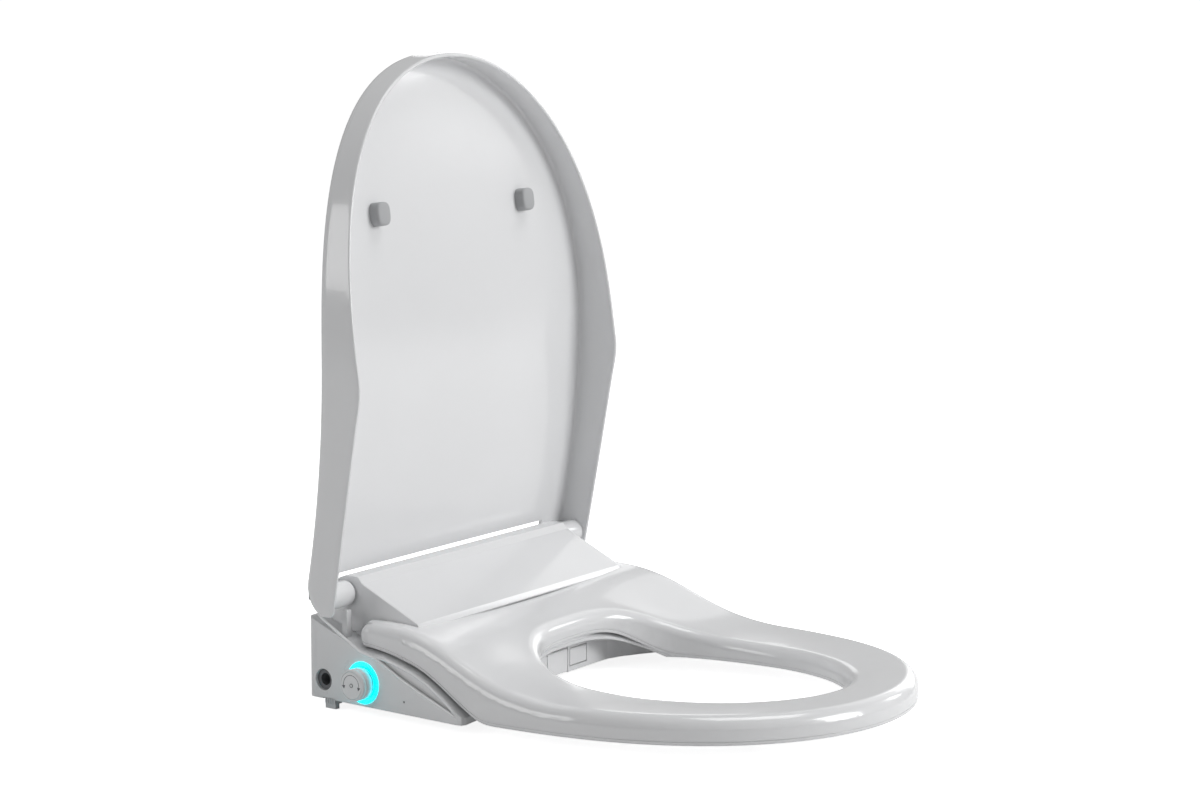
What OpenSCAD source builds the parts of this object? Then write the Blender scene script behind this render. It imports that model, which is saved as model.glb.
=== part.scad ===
// Electric bidet seat: lid, seat ring, base housing with wash nozzle, dryer and control knob.
// Origin midway between the two mounting bolts at the bottom of the base. +Z up, front is -Y.
// Millimetres. The lid is drawn open and the seat is drawn down.

/* [Base] */
// Half width of the base at its rear wall
base_rear_half = 167.5; // [160:0.5:175]
// Half width of the base at the front tips of its cheeks
base_front_half = 188; // [182:0.5:192]
// Rear wall of the base, behind the bolts
base_rear_y = 42; // [41:1:44]
// Front tips of the cheeks, in front of the bolts
base_tip_y = -124; // [-130:1:-120]
// Front wall that holds the nozzle gate
front_wall_y = -89; // [-92:1:-88]
// Height of the cheeks at the rear wall
base_rear_h = 65; // [62:1:68]
// Height of the deck under the rear of the seat
deck_h = 40; // [38:1:41]
// Wall thickness of the housings
wall = 3; // [2.5:0.1:3.2]

/* [Cover] */
// Half width of the top cover
cover_half = 151; // [148:0.5:152]
// Front lip of the cover
cover_lip_y = -54; // [-56:1:-52]
// Height of the cover's flat top
cover_top = 98.6; // [97:0.2:99]

/* [Hinges] */
// Lid hinge axis, from the bolts
lid_axis_y = 14; // [13:0.5:14.5]
// Lid hinge axis height
lid_axis_z = 84.5; // [84:0.5:85]
// Seat hinge axis, from the bolts
seat_axis_y = -17; // [-18:0.5:-16]
// Seat hinge axis height
seat_axis_z = 57; // [56:0.5:58]
// Radius of the lid hinge shafts
lid_shaft_r = 5; // [4:0.1:5.5]
// Radius of the seat hinge shafts
seat_shaft_r = 4.5; // [4:0.1:5]
// Running clearance of every shaft in its bore
running_gap = 0.06; // [0.02:0.01:0.09]

/* [Lid] */
// Largest half width of the lid
lid_half = 188.8; // [187:0.2:190]
// Half width of the lid at its hinge
lid_rear_half = 185.6; // [184:0.2:187]
// Top of the open lid
lid_tip_z = 512; // [500:1:515]
// Wall thickness of the lid
lid_wall = 3; // [2.5:0.1:3.5]
// Half width of the notch between the hinge ears
lid_notch_half = 151.8; // [151.6:0.1:153]
// Standing height of a lid bumper
lid_bumper_h = 9; // [5:0.5:10]

/* [Seat] */
// Largest half width of the seat
seat_half = 184; // [182:0.2:184.5]
// Front tip of the seat
seat_tip_y = -401; // [-402:1:-395]
// Half width of the opening
hole_half = 104; // [98:1:108]
// Rear edge of the opening
hole_rear_y = -103; // [-106:1:-101]
// Front edge of the opening
hole_front_y = -350; // [-356:1:-340]

/* [Controls] */
// Radius of the knob
knob_r = 13; // [12:0.1:13.2]
// How far the knob stands out of the cheek
knob_h = 13.5; // [12:0.5:17]
// Outer radius of the light ring
ring_r = 17; // [16:0.1:18]
// Press travel of the knob
knob_travel = 1.2; // [0.8:0.1:1.5]

/* [Mounting] */
// Distance between the two mounting bolts
bolt_spacing = 140; // [120:1:160]
// Half width of the bolt slots
bolt_slot_r = 5.5; // [4.5:0.1:6]
// End to end length of a bolt slot
bolt_slot_len = 31; // [20:1:36]

/* [Nozzle] */
// Downward slope of the nozzle in degrees
nozzle_slope = 20; // [18:1:22]
// Radius of the nozzle tube
nozzle_r = 6; // [5:0.1:6.2]

/* [Hidden] */
$fn = 48;
eps = 0.01;

white = [0.93, 0.93, 0.94];
grey = [0.62, 0.63, 0.65];
dark = [0.25, 0.26, 0.28];
steel = [0.7, 0.7, 0.72];
cyan = [0.1, 0.95, 1.0];
green = [0.1, 0.4, 0.25];
rubber = [0.75, 0.75, 0.76];

cheek_run = base_rear_y - base_tip_y;
cheek_angle = atan((base_front_half - base_rear_half) / cheek_run);

// Moves shapes into a cheek's own frame: X points out of its face, Y runs forward along it.
module on_cheek(side = -1) {
    mirror([side > 0 ? 1 : 0, 0, 0])
        translate([-base_rear_half, base_rear_y, 0])
            rotate([0, 0, 180 - cheek_angle])
                children();
}

// A side profile given as [y, z] points, swept along X between two planes.
module across(points, x0, x1) {
    translate([x0, 0, 0])
        rotate([90, 0, 90])
            linear_extrude(height = x1 - x0)
                polygon(points);
}

module across_both(points, x0, x1) {
    across(points, x0, x1);
    mirror([1, 0, 0]) across(points, x0, x1);
}

// A cylinder along X from x0 to x1 at height z and depth y.
module rod(x0, x1, y, z, r) {
    translate([x0, y, z]) rotate([0, 90, 0]) cylinder(h = x1 - x0, r = r);
}

module rod_both(x0, x1, y, z, r) {
    rod(x0, x1, y, z, r);
    mirror([1, 0, 0]) rod(x0, x1, y, z, r);
}

// ---- Base plan and profile ----

wing_flat = 70;
wing_end = 152;
wing_depth = 32;
// Front edge of the base in plan: straight at the middle, swept forward to the cheek tips.
function front_edge(x) =
    x <= wing_flat ? front_wall_y
    : front_wall_y - wing_depth * (1 - cos(180 * min(1, (x - wing_flat) / (wing_end - wing_flat)))) / 2;
function cheek_half(y) = base_rear_half + (base_rear_y - y) / cheek_run * (base_front_half - base_rear_half);
corner_r = 9;
// Right half of the base outline, moved inwards by t.
function base_outline(t) = concat(
    [for (i = [0 : 10]) let (x = (wing_end - 2 * t) * i / 10) [x, front_edge(x + t) + t]],
    [[cheek_half(base_tip_y) - 6 - t, base_tip_y + t],
     [cheek_half(base_tip_y) - 1.5 - t, base_tip_y + 1.5 + t],
     [cheek_half(base_tip_y + 5 + t) - t / cos(cheek_angle), base_tip_y + 5 + t]],
    [for (i = [0 : 6]) let (a = i * (90 + cheek_angle) / 6 - cheek_angle)
        [cheek_half(base_rear_y - corner_r) - corner_r / cos(cheek_angle) + (corner_r - t) * cos(a),
         base_rear_y - corner_r + (corner_r - t) * sin(a)]],
    [[0, base_rear_y - t]]);
function mirrored(points) = [for (i = [len(points) - 1 : -1 : 0]) [-points[i][0], points[i][1]]];

module base_plan(t, z0, z1) {
    half = base_outline(t);
    translate([0, 0, z0])
        linear_extrude(height = z1 - z0)
            polygon(concat(half, mirrored(half)));
}

// Upper edge of a cheek: a straight fall from the rear, then a hump under the seat.
function cheek_profile(t) = [
    [base_rear_y + 5, -5], [base_rear_y + 5, base_rear_h - t], [base_rear_y - 4, base_rear_h - t],
    [-17, 43.8 - t], [-38, 42.8 - t], [-57, 39.2 - t], [-75, 34.6 - t], [-90, 27.8 - t],
    [-105, 18.8 - t], [-117, 10.5 - t], [base_tip_y, 5.5 - t], [base_tip_y - 5, 5.5 - t],
    [base_tip_y - 5, -5]];
cover_floor = 44;
deck_half = 139;

module base_body(t, z0) {
    intersection() {
        base_plan(t, z0, base_rear_h + 5);
        union() {
            across(cheek_profile(t), -200, 200);
            translate([-deck_half + t, front_wall_y - 1, -5])
                cube([2 * (deck_half - t), base_rear_y - front_wall_y + 2, deck_h + 5 - t]);
        }
    }
}

knob_u = 61.5;
knob_z = 19;
inlet_u = 18;
inlet_z = 15.5;
lamp_u = 106;
lamp_z = 10;
inlet_r = 8.75;
button_u = 24;
gate_half = 15;
gate_top = 20.4;
door_x0 = 19;
door_x1 = 44;
door_z0 = 5;
door_z1 = 19;
flap_gap = 0.8;
pan_h = 2.5;
leaf_depth = 2.2;
deck_back_y = -42;

// Recess between the straight bead and the hump, seen from the side as a leaf.
module leaf_cut() {
    on_cheek(-1)
        translate([-leaf_depth, 0, 0])
            rotate([90, 0, 90])
                linear_extrude(height = 10)
                    polygon([[78, 40.5], [97, 37.4], [116, 32.6], [131, 26], [146, 17.4], [157, 9.6], [152, 9.4],
                             [130, 17.2], [104, 27.2]]);
}

module base_shell() {
    color(white) {
        base_hollow();
        // Posts under the lid's hinge barrels
        for (s = [-1, 1])
            translate([s * 163 - 3, lid_axis_y - 11, 50])
                cube([6, 5, lid_axis_z - barrel_r - 0.6 - 50]);
    }
}

module base_hollow() {
        difference() {
            base_body(0, 0);
            difference() {
                base_body(wall, -1);
                translate([-200, front_wall_y, deck_h - wall]) cube([400, cover_lip_y - front_wall_y + 3, 3 + eps]);
            }
            // Open top under the cover
            translate([-cover_half - 0.4, cover_lip_y + 3, cover_floor])
                cube([2 * cover_half + 0.8, 200, 60]);
            translate([-deck_half + wall, deck_back_y, 10])
                cube([2 * (deck_half - wall), base_rear_y - wall - deck_back_y, 60]);
            leaf_cut();
            mirror([1, 0, 0]) leaf_cut();
            // Holes for the cover screws
            for (s = [-1, 1])
                translate([s * cover_screw_x, cover_screw_y, 30]) cylinder(h = 20, r = 1.8);
            // Knob, light ring, inlet and lamp
            on_cheek(-1) {
                translate([-wall - 8, knob_u, knob_z]) rotate([0, 90, 0]) cylinder(h = 20, r = 7);
                translate([-1.6, knob_u, knob_z]) rotate([0, 90, 0]) cylinder(h = 5, r = ring_r);
                translate([-wall - 8, inlet_u, inlet_z]) rotate([0, 90, 0]) cylinder(h = 20, r = inlet_r);
                translate([-wall - 8, lamp_u, lamp_z]) rotate([0, 90, 0]) cylinder(h = 20, r = 0.8);
            }
            // Power lead gland
            on_cheek(1)
                translate([-wall - 8, inlet_u, inlet_z]) rotate([0, 90, 0]) cylinder(h = 20, r = 7);
            // Nozzle gate and dryer outlet
            translate([-gate_half - flap_gap, front_wall_y - 1, -1])
                cube([2 * (gate_half + flap_gap), wall + 2, gate_top + flap_gap + 1]);
            translate([door_x0 - flap_gap, front_wall_y - 1, door_z0 - flap_gap])
                cube([door_x1 - door_x0 + 2 * flap_gap, wall + 2, door_z1 - door_z0 + 2 * flap_gap]);
            // Slot for the release button
            on_cheek(-1)
                translate([-wall - 6, button_u - 6.5, -1]) cube([wall + 8, 13, 2.1]);
        }
}

dome_x = 100;
dome_y = 33;
dome_h = 16;
module base_pan() {
    color(grey)
        difference() {
            union() {
                base_plan(wall + 0.4, 0.3, pan_h + 0.3);
                translate([-dome_x, -dome_y, 0.3]) cube([2 * dome_x, 2 * dome_y, dome_h - 0.3]);
            }
            translate([-dome_x + 2.5, -dome_y + 2.5, -1])
                cube([2 * dome_x - 5, 2 * dome_y - 5, dome_h + 1 - 2.5]);
            // Clearance for the gate, the duct and the release button
            translate([-gate_half - 3, front_wall_y - 1, -1]) cube([2 * gate_half + 6, 42, 10]);
            on_cheek(-1)
                translate([-24, button_u - 7.5, -1]) cube([30, 15, 10]);
            for (x = pan_screw_x, y = pan_screw_y)
                translate([x, y, -1]) cylinder(h = 10, r = 1.7);
            for (s = [-1, 1], y = foot_y)
                translate([s * foot_x, y, -1]) cylinder(h = 10, r = 2.45);
        }
}

// The bracket bolted to the bowl; the base slides over it from the front.
plate_x = 94;
plate_y = 27;
plate_h = 4.5;
module mounting_plate() {
    color(grey)
        difference() {
            union() {
                translate([-plate_x, -plate_y, 0]) cube([2 * plate_x, 2 * plate_y, plate_h]);
                for (s = [-1, 1])
                    translate([s > 0 ? plate_x - 6 : -plate_x, -plate_y, plate_h - eps])
                        cube([6, 2 * plate_y, dome_h - 2.5 - plate_h + eps]);
            }
            for (s = [-1, 1])
                translate([s * bolt_spacing / 2, 0, 0])
                    bolt_slot();
            // Weight-saving windows
            for (i = [-1 : 1])
                translate([i * 32 - 11, -18, -1]) cube([22, 36, 20]);
        }
}

module bolt_slot() {
    reach = bolt_slot_len / 2 - bolt_slot_r;
    for (s = [-1, 1])
        translate([s * reach, 0, -1]) cylinder(h = 20, r = bolt_slot_r);
    translate([-reach, -bolt_slot_r, -1]) cube([2 * reach, 2 * bolt_slot_r, 20]);
}

// Two-step ribbed tab under the cheek that frees the base from its bracket.
button_travel = 4;
module release_button() {
    color(grey)
        on_cheek(-1)
            difference() {
                union() {
                    translate([-9, button_u - 5.5, -3.6]) cube([8, 11, 4.4]);
                    translate([-6, button_u - 5.5, -7.6]) cube([4.5, 11, 4 + eps]);
                    translate([-19, button_u - 4, -1.4]) cube([10 + eps, 8, 2.2]);
                }
                for (i = [0 : 3])
                    translate([-1.6, button_u - 4.4 + i * 2.4, -8]) cube([2, 1.2, 12]);
            }
}

foot_x = 128;
foot_y = [-72, 28];
module base_feet() {
    color(rubber)
        for (s = [-1, 1], y = foot_y)
            translate([s * foot_x, y, 0]) {
                cylinder(h = 0.3, r = 7);
                translate([0, 0, 0.1]) cylinder(h = 2.7, r = 2.4);
            }
}

// ---- Top cover ----

cover_screw_x = 122;
cover_screw_y = -47;
bevel_y = -1;
bevel_z = 93;
function cover_profile(t) = [
    [cover_lip_y + t, cover_floor + 0.3 - (t > 0 ? 5 : 0)], [cover_lip_y + t, 61.5],
    [cover_lip_y - 1.6 + t, 63.2], [cover_lip_y - 1.4 + t, 65.4 - t], [cover_lip_y + 0.6 + t, 66.6 - t],
    [bevel_y + 0.5 * t, bevel_z - 0.9 * t], [3, cover_top - 0.6 - t], [5.5, cover_top - t],
    [15, cover_top - t], [21 - 0.5 * t, cover_top - 2 - 0.8 * t], [26 - 0.8 * t, 92 - 0.5 * t],
    [30 - t, 84], [34 - t, 74], [base_rear_y - 2.2 - t, 66], [base_rear_y - 0.2 - t, 60],
    [base_rear_y - 0.2 - t, cover_floor + 0.3 - (t > 0 ? 5 : 0)]];

module top_cover() {
    color(white)
        difference() {
            union() {
                difference() {
                    across(cover_profile(0), -cover_half, cover_half);
                    across(cover_profile(2.6), -cover_half + 2.6, cover_half - 2.6);
                }
                // Screw bosses
                for (s = [-1, 1])
                    translate([s * cover_screw_x, cover_screw_y, 42.4]) cylinder(h = 23, r = 4);
            }
            for (s = [-1, 1])
                translate([s * cover_screw_x, cover_screw_y, deck_h]) cylinder(h = 17, r = 1.6);
            rod_both(cover_half - 5, cover_half + 5, lid_axis_y, lid_axis_z, lid_shaft_r + 0.6);
            rod_both(cover_half - 5, cover_half + 5, seat_axis_y, seat_axis_z, seat_shaft_r + 0.6);
        }
}

module screw(head_r, shank_r, length) {
    cylinder(h = 1.8, r = head_r);
    translate([0, 0, 1.8 - eps]) cylinder(h = length, r = shank_r);
}

pan_screw_x = [-140, 140];
pan_screw_y = [-50, 22];
module pan_screws() {
    color(steel)
        for (x = pan_screw_x, y = pan_screw_y)
            translate([x, y, 0.3 + pan_h]) {
                rotate([180, 0, 0]) cylinder(h = 2.3, r = 1.6);
                cylinder(h = 4, r = 1.6);
            }
}

// Screws that hold the cover down from under the deck.
module cover_screws() {
    color(steel)
        for (s = [-1, 1])
            translate([s * cover_screw_x, cover_screw_y, deck_h - 4.6]) {
                cylinder(h = 2, r = 3.2);
                cylinder(h = 20, r = 1.6);
            }
}

// ---- Water path ----

fitting_bore_r = 5;
fitting_bore_len = 12;
module water_inlet() {
    color(dark)
        on_cheek(-1)
            translate([0, inlet_u, inlet_z])
                rotate([0, 90, 0])
                    difference() {
                        union() {
                            translate([0, 0, -16]) cylinder(h = 13.5, r = inlet_r - 0.1);
                            translate([0, 0, -18]) cylinder(h = 2 + eps, r = 6.5);
                        }
                        translate([0, 0, -2.5 - fitting_bore_len]) cylinder(h = fitting_bore_len + 1, r = fitting_bore_r);
                        translate([0, 0, -20]) cylinder(h = 20, r = 2.5);
                        // Key slot beside the socket
                        translate([-1, 6, -6]) cube([2, 2, 6]);
                    }
}

module inlet_seal() {
    color(dark)
        on_cheek(-1)
            translate([-17.2, inlet_u, inlet_z])
                rotate([0, 90, 0])
                    rotate_extrude()
                        translate([7.4, 0]) circle(r = 0.8);
}

module inlet_filter() {
    color(steel)
        on_cheek(-1)
            translate([-17.8, inlet_u, inlet_z])
                rotate([0, 90, 0])
                    difference() {
                        cylinder(h = 3.1, r = 2.4);
                        translate([0, 0, 1]) cylinder(h = 6, r = 1.5);
                    }
}

module inlet_valve() {
    color(grey)
        on_cheek(-1)
            translate([-18.1, inlet_u, inlet_z])
                rotate([0, -90, 0]) {
                    cylinder(h = 5, r = 6.5);
                    translate([-8, -10, 5 - eps]) cube([20, 20, 22]);
                    translate([12, 0, 16]) rotate([0, 90, 0]) cylinder(h = 12, r = 8);
                }
}

heater_x = -128;
heater_y = -36;
heater_z = 16;
module heater_tank() {
    color([0.85, 0.85, 0.86])
        translate([heater_x, heater_y, heater_z]) {
            translate([0, 11, 11]) rotate([0, 90, 0]) cylinder(h = 88, r = 11);
            translate([6, 0, 0]) cube([12, 22, 11]);
            translate([70, 0, 0]) cube([12, 22, 11]);
        }
}

hose_r = 3;
elbow_r = 3.6;
module hose_run(a, b) {
    d = b - a;
    l = norm(d);
    translate(a)
        rotate([0, acos(d[2] / l), atan2(d[1], d[0])])
            cylinder(h = l, r = hose_r);
}
module hose(route) {
    for (i = [0 : len(route) - 2])
        hose_run(route[i], route[i + 1]);
    for (i = [1 : len(route) - 2])
        translate(route[i]) sphere(r = elbow_r);
}
hose_route_a = [[-118.5, 24, 21], [-84, 24, 21], [-84, -13.6, 27]];
hose_route_b = [[-39.6, -25, 27], [-30, -25, 27], [-30, -25, 58], [-30, 32, 58], [-8, 32, 58]];
module water_hoses() {
    color([0.85, 0.9, 0.95]) {
        hose(hose_route_a);
        hose(hose_route_b);
    }
}

// ---- Electronics ----

module control_board() {
    color(green)
        translate([-134, -42.4, cover_floor - 1.4]) {
            cube([96, 56, 1.6]);
            for (i = [0 : 3])
                translate([12 + i * 20, 20, 1.6 - eps]) cube([10, 8, 2]);
            translate([8, 44, 1.6 - eps]) cube([26, 10, 3.4]);
            translate([66, 42, 1.6 - eps]) cylinder(h = 9, r = 5);
        }
}

module power_supply() {
    color(grey)
        translate([84, -41, dome_h]) {
            cube([52, 40, 24]);
            translate([5, 40 - eps, 0]) cube([40, 28, 14]);
        }
}

module cord_gland() {
    color(dark)
        on_cheek(1)
            translate([0, inlet_u, inlet_z])
                rotate([0, 90, 0])
                    difference() {
                        union() {
                            translate([0, 0, -wall - 4]) cylinder(h = wall + 4.6, r = 6.9);
                            translate([0, 0, 0.3]) cylinder(h = 1.6, r = 9);
                            translate([0, 0, -wall - 4]) cylinder(h = 3.5, r = 9);
                        }
                        translate([0, 0, -20]) cylinder(h = 40, r = 3.6);
                    }
}

// ---- Nozzle ----

nozzle_reach = 55;
nozzle_gate_z = 9;
// Nozzle frame: origin where the axis meets the front wall, X backwards and up along the tube.
module on_nozzle() {
    translate([0, front_wall_y, nozzle_gate_z])
        rotate([nozzle_slope, 0, 0])
            rotate([0, 0, 90])
                children();
}

sleeve_r = nozzle_r + 1.4;
sleeve_u = 46;
sleeve_len = 68;
rack_pitch = 3.2;
rack_root = 0.6;
pinion_teeth = 12;
pinion_r = rack_pitch * pinion_teeth / (2 * PI);
pinion_u = 54;
pinion_y = sleeve_r + rack_root + 0.95 + pinion_r;

// Outer stage of the telescopic nozzle, with a rack on the knob side.
module nozzle_sleeve() {
    color(grey)
        on_nozzle()
            difference() {
                union() {
                    translate([sleeve_u, 0, 0]) rotate([0, 90, 0]) cylinder(h = sleeve_len, r = sleeve_r);
                    translate([sleeve_u, sleeve_r - 1.8, -2]) cube([sleeve_len, 1.8 + rack_root, 4]);
                    for (i = [-2 : 17])
                        translate([pinion_u + i * rack_pitch, sleeve_r + rack_root - eps, -2])
                            linear_extrude(height = 4)
                                polygon([[-0.75, 0], [-0.3, 1.7], [0.3, 1.7], [0.75, 0]]);
                }
                translate([sleeve_u - 1, 0, 0])
                    rotate([0, 90, 0]) cylinder(h = sleeve_len + 2, r = nozzle_r - 1 + running_gap);
            }
}

tube_r = nozzle_r - 1;
// Inner stage that carries the spray tip.
module nozzle_tube() {
    color(white)
        on_nozzle()
            difference() {
                translate([nozzle_reach + 10, 0, 0]) rotate([0, 90, 0]) cylinder(h = 46, r = tube_r);
                translate([nozzle_reach + 9, 0, 0]) rotate([0, 90, 0]) cylinder(h = 50, r = 3.2);
            }
}

module nozzle_tip() {
    color(steel)
        on_nozzle()
            difference() {
                union() {
                    translate([nozzle_reach, 0, 0]) rotate([0, 90, 0]) cylinder(h = 10, r = tube_r);
                    translate([nozzle_reach + 10 - eps, 0, 0]) rotate([0, 90, 0]) cylinder(h = 6, r = 3.1);
                }
                for (i = [0 : 1])
                    translate([nozzle_reach + 3 + i * 4, 0, 2]) cylinder(h = 8, r = 0.9);
            }
}

cradle_r = sleeve_r + running_gap;
// Open channel that the sleeve slides in, carried by a foot.
module nozzle_cradle() {
    color(grey)
        on_nozzle() {
            difference() {
                translate([30, -10.5, -10]) cube([88, 18.5, 12]);
                translate([20, 0, 0]) rotate([0, 90, 0]) cylinder(h = 120, r = cradle_r);
                translate([20, -cradle_r, 0]) cube([120, 2 * cradle_r, 20]);
                translate([20, 3, -2.6]) cube([120, 12, 20]);
            }
            translate([42, -10.5, -21.8]) cube([8, 18.5, 11.8 + eps]);
        }
}

module nozzle_pinion() {
    color(steel)
        on_nozzle()
            translate([pinion_u, pinion_y, -2])
                difference() {
                    union() {
                        cylinder(h = 4, r = pinion_r - 1.1);
                        for (i = [0 : pinion_teeth - 1])
                            rotate([0, 0, (i + 0.5) * 360 / pinion_teeth - 90])
                                translate([pinion_r - 1.3, 0, 0])
                                    linear_extrude(height = 4)
                                        polygon([[0, -0.72], [1.9, -0.28], [1.9, 0.28], [0, 0.72]]);
                    }
                    translate([0, 0, -1]) cylinder(h = 6, r = 1.5);
                }
}

motor_r = 8;
module nozzle_motor() {
    color(dark)
        on_nozzle()
            translate([pinion_u, pinion_y, 0]) {
                translate([0, 0, -3.4]) cylinder(h = 6.8, r = 1.5 - running_gap);
                translate([0, 0, 3]) cylinder(h = 7, r = motor_r);
                translate([-13, -3, 3]) cube([26, 6, 1.2]);
            }
}

// ---- Front flaps ----

flap_t = 2;
gate_axis_y = front_wall_y + 1.3;
gate_axis_z = gate_top - 1.3;
door_axis_z = door_z1 - 1.3;
pin_r = 0.8;
module flap(x0, x1, z0, axis_z) {
    difference() {
        union() {
            translate([x0, front_wall_y, z0]) cube([x1 - x0, flap_t, axis_z - z0]);
            rod(x0, x1, gate_axis_y, axis_z, 1.3);
        }
        rod(x0 - 1, x1 + 1, gate_axis_y, axis_z, pin_r + running_gap);
    }
}

module nozzle_gate() {
    color(white) flap(-gate_half, gate_half, 0.8, gate_axis_z);
}

module dryer_door() {
    color(white) flap(door_x0, door_x1, door_z0, door_axis_z);
}

module gate_pin() {
    color(steel) rod(-gate_half - flap_gap, gate_half + flap_gap, gate_axis_y, gate_axis_z, pin_r);
}

module dryer_door_pin() {
    color(steel) rod(door_x0 - flap_gap, door_x1 + flap_gap, gate_axis_y, door_axis_z, pin_r);
}

// ---- Dryer ----

fan_x = 50;
fan_y = -8;
fan_z = 16;
fan_r = 24;
module dryer_duct() {
    color(grey)
        difference() {
            across([[front_wall_y + wall + 0.6, 3.5], [-34.5, 3.5], [-34.5, 38], [-48, 34],
                [front_wall_y + wall + 0.6, 21.5]], door_x0 - 1.5, door_x1 + 1.5);
            across([[front_wall_y, 5], [-36.5, 5], [-36.5, 18.5], [-20, 18.5], [-20, 35], [-48, 32],
                [front_wall_y, 20]], door_x0, door_x1);
        }
}

module fan_housing() {
    color(dark)
        translate([fan_x, fan_y, fan_z])
            difference() {
                union() {
                    cylinder(h = 22, r = fan_r);
                    translate([door_x0 - fan_x - 1.5, -26.3, 0]) cube([door_x1 - door_x0 - 2, 26.3, 22]);
                }
                translate([0, 0, 1.5]) cylinder(h = 19, r = fan_r - 1.5);
                translate([door_x0 - fan_x, -30, 1.5]) cube([door_x1 - door_x0 - 5, 26, 19]);
                translate([0, 0, 15]) cylinder(h = 10, r = 13);
            }
}

module fan_rotor() {
    color(grey)
        translate([fan_x, fan_y, fan_z + 3])
            difference() {
                union() {
                    cylinder(h = 1.6, r = fan_r - 4.5);
                    cylinder(h = 10, r = 4);
                    for (i = [0 : 17])
                        rotate([0, 0, i * 20])
                            translate([12.5, -0.6, 1.6 - eps]) cube([6.6, 1.2, 13]);
                }
                translate([0, 0, -1]) cylinder(h = 20, r = 1.5);
            }
}

module fan_motor() {
    color(steel)
        translate([fan_x, fan_y, fan_z]) {
            translate([0, 0, 1.5]) cylinder(h = 13, r = 1.5 - running_gap);
            translate([0, 0, 1.5]) cylinder(h = 1.2, r = 6);
        }
}

// ---- Knob and lights ----

module at_knob() {
    on_cheek(-1)
        translate([0, knob_u, knob_z])
            rotate([0, 90, 0])
                children();
}

module light_ring() {
    color(cyan)
        at_knob()
            translate([0, 0, -1.5])
                difference() {
                    cylinder(h = 2.3, r = ring_r - 0.1);
                    translate([0, 0, -1]) cylinder(h = 6, r = knob_r - 0.6);
                }
}

module light_board() {
    color(green)
        at_knob()
            translate([0, 0, -wall - 3])
                difference() {
                    cylinder(h = 1.4, r = ring_r - 1.6);
                    translate([0, 0, -1]) cylinder(h = 6, r = 8.5);
                }
}

knob_floor = 2.2;
module knob_grip() {
    color(white)
        at_knob()
            difference() {
                union() {
                    translate([0, 0, knob_floor]) cylinder(h = knob_h - knob_floor - 1, r = knob_r);
                    translate([0, 0, knob_h - 1 - eps]) cylinder(h = 1, r1 = knob_r, r2 = knob_r - 1);
                }
                translate([0, 0, knob_h - 0.8]) cylinder(h = 3, r = knob_r - 1.8);
                translate([0, 0, knob_floor - 1]) cylinder(h = 9, r = knob_r - 2.2);
                cylinder(h = knob_h + 5, r = 3 + running_gap);
            }
}

module knob_cap() {
    color(white)
        at_knob()
            difference() {
                translate([0, 0, knob_h - 0.8]) cylinder(h = 0.6, r = knob_r - 1.9);
                translate([0, 0, knob_h - 0.5]) cylinder(h = 1, r = 1.1);
            }
}

stem_back = -14;
module knob_stem() {
    color(steel)
        at_knob()
            translate([0, 0, stem_back]) cylinder(h = knob_h - 0.9 - stem_back, r = 3);
}

module knob_bush() {
    color(grey)
        at_knob()
            translate([0, 0, -wall - 5])
                difference() {
                    union() {
                        cylinder(h = 7, r = 6.9);
                        cylinder(h = 3, r = 8);
                    }
                    translate([0, 0, -1]) cylinder(h = 12, r = 3 + running_gap);
                }
}

module encoder() {
    color(dark)
        at_knob()
            difference() {
                translate([-8, -8, -24]) cube([16, 16, 15.5]);
                translate([0, 0, -17]) cylinder(h = 20, r = 3 + running_gap);
            }
}

module indicator_lens() {
    color(cyan)
        on_cheek(-1)
            translate([-wall - 2, lamp_u, lamp_z])
                rotate([0, 90, 0]) {
                    cylinder(h = wall + 1.8, r = 0.75);
                    cylinder(h = 1.5, r = 2);
                }
}

// ---- Lid ----

lid_base_z = 88;
lid_line_y = 29;
lid_bow = 25.6;
lid_lean = 0.026;
// Inner face of the lid panel, [y] at height z: leans back slightly and bows forward.
function lid_t(z) = (z - lid_base_z) / (lid_tip_z - lid_base_z);
function lid_inner(z) = lid_line_y + (z - lid_base_z) * lid_lean - lid_bow * 4 * lid_t(z) * (1 - lid_t(z));
lid_wide_z = 266;
function lid_width(z) =
    z < lid_wide_z
    ? lid_half - (lid_half - lid_rear_half) * pow((lid_wide_z - z) / (lid_wide_z - lid_base_z), 1.8)
    : lid_half * pow(1 - pow(min(1, (z - lid_wide_z) / (lid_tip_z - lid_wide_z)), 2.48), 1 / 2.03);
lid_foot_z = 69;
lid_notch_z = 99;
steps = 22;
lid_heights = concat([for (i = [0 : 5]) lid_foot_z + (lid_wide_z - lid_foot_z) * i / 6],
    [for (i = [0 : steps]) lid_wide_z + (lid_tip_z - lid_wide_z) * (1 - pow(1 - i / steps, 2))]);
lid_half_outline = [for (z = lid_heights) [lid_width(z), z]];
kink_z = 251;
kink_y = -29;
skirt_foot_y = 3;
skirt_rise = 0.115;
skirt_sweep = 0.00019;

// Front edge of the skirt: a straight run to the kink, then a shallow curve to the tip.
function skirt_edge(z) =
    z < kink_z ? skirt_foot_y + (kink_y - skirt_foot_y) * (z - lid_foot_z) / (kink_z - lid_foot_z)
    : kink_y + (z - kink_z) * skirt_rise + pow(z - kink_z, 2) * skirt_sweep;
lid_rows = [for (i = [0 : 20]) lid_foot_z + (lid_tip_z - lid_foot_z) * i / 20];
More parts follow.
